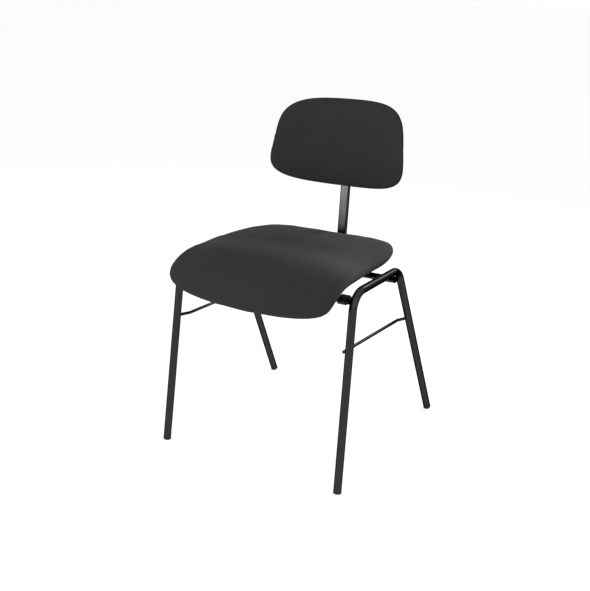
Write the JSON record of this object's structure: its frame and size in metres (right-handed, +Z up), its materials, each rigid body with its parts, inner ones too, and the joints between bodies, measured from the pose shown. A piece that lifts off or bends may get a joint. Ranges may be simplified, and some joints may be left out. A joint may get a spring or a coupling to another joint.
{
  "type": "stacking choir chair",
  "caption": "Armless stacking chair: bent round-tube side frames, rolled-front upholstered seat and a curved upholstered backrest on one central flat post.",
  "frame": {"origin": "on the floor under the middle of the chair's bounding box", "axes": "+Z up; a sitter faces -Y; +X is the sitter's left; the bolt pattern and both cushions are symmetric about the plane X = 0"},
  "size_m": [0.538, 0.5588, 0.8551],
  "materials": {
    "frame_paint": "glossy black powder coat over steel tube",
    "black_plastic": "satin black moulded plastic",
    "black_fabric": "fine plain black upholstery cloth",
    "liner_fabric": "thin black non-woven dust cover",
    "plywood": "raw moulded beech plywood",
    "foam": "moulded polyurethane foam",
    "black_steel": "black oxide steel",
    "zinc_steel": "zinc-plated steel"
  },
  "bodies": {
    "root": {"left_side_frame": "frame_paint", "right_side_frame": "frame_paint", "front_cross_member": "frame_paint", "rear_cross_member": "frame_paint", "left_side_rod": "frame_paint", "right_side_rod": "frame_paint", "back_post": "frame_paint", "left_stacking_buffer": "black_plastic", "right_stacking_buffer": "black_plastic", "front_left_glide": "black_plastic", "front_right_glide": "black_plastic", "rear_left_glide": "black_plastic", "rear_right_glide": "black_plastic", "post_top_plug": "black_plastic", "post_front_plug": "black_plastic", "seat_board": "plywood", "seat_foam": "foam", "seat_cover": "black_fabric", "seat_liner": "liner_fabric", "seat_screws": "black_steel", "seat_screw_washers": "black_steel", "seat_spacers": "black_plastic", "seat_nuts": "zinc_steel", "back_board": "plywood", "back_foam": "foam", "back_cover": "black_fabric", "back_shell": "black_plastic", "back_screws": "black_steel", "back_spacers": "black_plastic", "back_nuts": "zinc_steel"}
  },
  "joints": []
}
